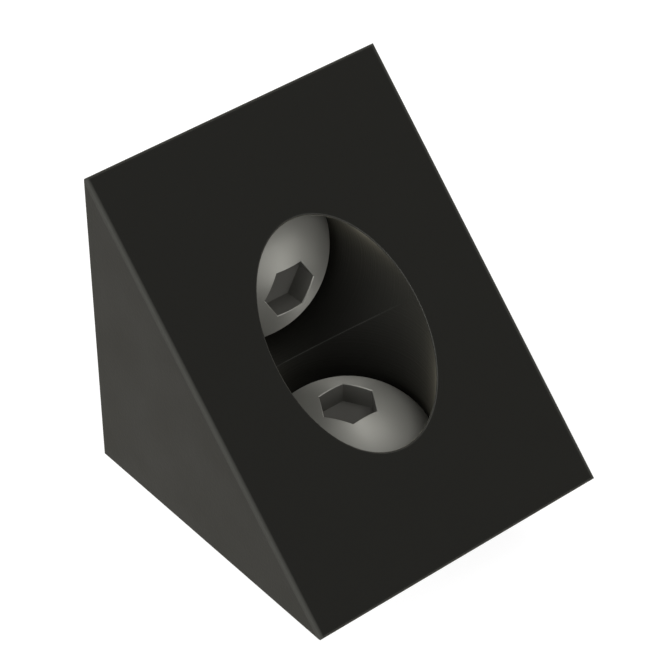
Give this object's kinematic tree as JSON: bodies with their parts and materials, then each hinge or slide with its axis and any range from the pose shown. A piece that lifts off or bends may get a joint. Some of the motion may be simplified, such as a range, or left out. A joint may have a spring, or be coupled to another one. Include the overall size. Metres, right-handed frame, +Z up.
{
  "type": "t slot corner bracket",
  "caption": "Solid wedge corner bracket for T-slot framing: crossing counterbores open in its sloped face, with a domed hex-socket screw down through each leg.",
  "frame": {"origin": "middle of the heel edge, where the outer faces of the two legs meet at a right angle", "axes": "+X along the base leg away from the heel, +Z up the wall leg, Y across the bracket; the base leg's outer face looks along -Z and the wall leg's along -X"},
  "size_m": [0.0252, 0.02, 0.0252],
  "materials": {
    "anodised_aluminium": "satin black anodised",
    "screw_steel": "satin stainless steel"
  },
  "bodies": {
    "root": {"bracket": "anodised_aluminium", "base_screw": "screw_steel", "wall_screw": "screw_steel"}
  },
  "joints": []
}
